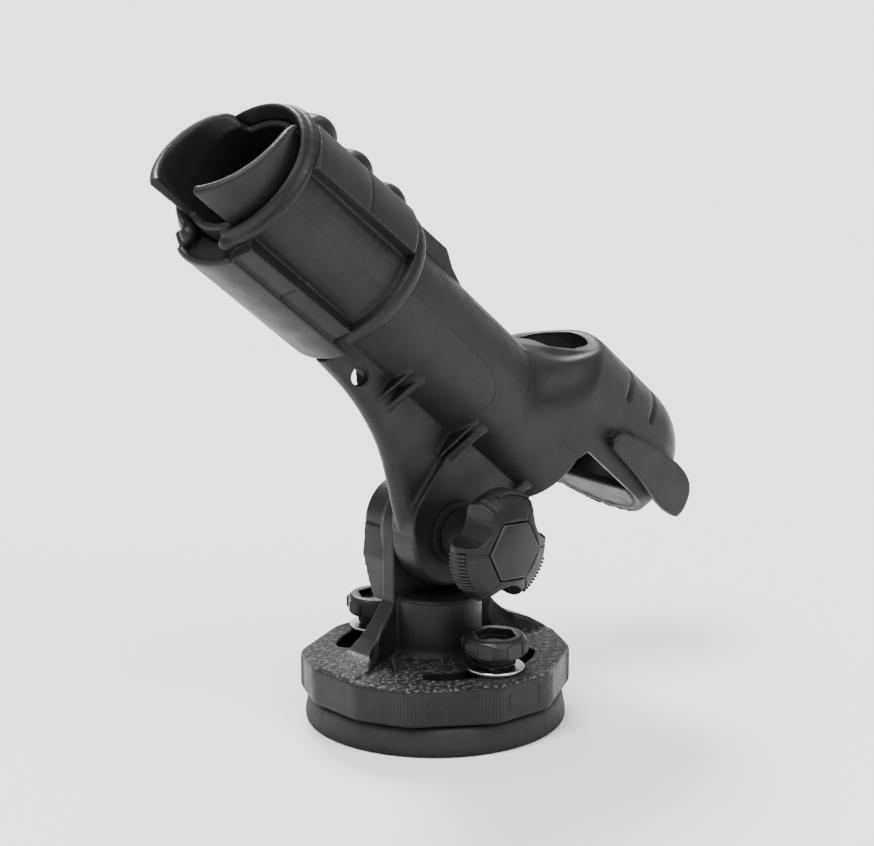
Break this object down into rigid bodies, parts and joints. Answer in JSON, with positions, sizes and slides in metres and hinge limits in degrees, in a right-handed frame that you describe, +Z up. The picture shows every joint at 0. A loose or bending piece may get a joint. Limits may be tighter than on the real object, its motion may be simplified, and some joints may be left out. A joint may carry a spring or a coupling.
{
  "type": "rod holder",
  "caption": "Fishing rod holder: an open-mouthed tube with a twist-lock collar and a rear hood, on a side arm that tilts on a knobbed pivot over a swivelling yoke and a round deck base.",
  "frame": {"origin": "centre of the base disc's flat underside", "axes": "+Z up; the tube's mouth points towards -X and upwards; the tilt axis lies along Y with the knob on the -Y side"},
  "size_m": [0.2394, 0.102, 0.2465],
  "materials": {
    "disc_nylon": "moulded nylon, fine satin grain",
    "body_nylon": "glass-filled nylon, satin with a fine moulded grain",
    "nut_plastic": "smooth satin plastic",
    "ring_plastic": "plain satin plastic",
    "cap_plastic": "smooth, slightly glossy plastic",
    "stainless": "polished stainless steel",
    "brass": "turned brass"
  },
  "bodies": {
    "base": {"base_disc": "disc_nylon", "stud_insert_near": "brass", "stud_insert_far": "brass", "stud_near": "stainless", "stud_far": "stainless", "swivel_ring": "ring_plastic", "washer_near": "stainless", "washer_far": "stainless"},
    "yoke": {"swivel_yoke": "body_nylon", "pivot_bolt": "stainless", "bolt_washer": "stainless", "arm_washer": "ring_plastic"},
    "nut_near": {"thumb_nut_near": "nut_plastic", "nut_insert_near": "brass"},
    "nut_far": {"thumb_nut_far": "nut_plastic", "nut_insert_far": "brass"},
    "arm": {"rod_tube": "body_nylon"},
    "collar": {"lock_collar": "body_nylon"},
    "knob": {"knob_body": "body_nylon", "knob_insert": "brass", "knob_cap": "cap_plastic"}
  },
  "joints": [
    {"name": "yoke_swivel", "type": "hinge", "parent": "base", "child": "yoke", "pos_m": [0, 0, 0], "axis": [0, 0, 1], "range_deg": [-35, 35]},
    {"name": "nut_near_turn", "type": "hinge", "parent": "base", "child": "nut_near", "pos_m": [0, -0.0345, 0.03], "axis": [0, 0, 1], "continuous": true},
    {"name": "nut_far_turn", "type": "hinge", "parent": "base", "child": "nut_far", "pos_m": [0, 0.0345, 0.03], "axis": [0, 0, 1], "continuous": true},
    {"name": "arm_tilt", "type": "hinge", "parent": "yoke", "child": "arm", "pos_m": [0, 0, 0.0762], "axis": [0, 1, 0], "range_deg": [-45, 30]},
    {"name": "collar_twist", "type": "hinge", "parent": "arm", "child": "collar", "pos_m": [0.03411, 0, 0.11545], "axis": [-0.7547, 0, 0.6561], "range_deg": [0, 90]},
    {"name": "knob_turn", "type": "hinge", "parent": "yoke", "child": "knob", "pos_m": [0, -0.04, 0.0762], "axis": [0, -1, 0], "continuous": true}
  ]
}
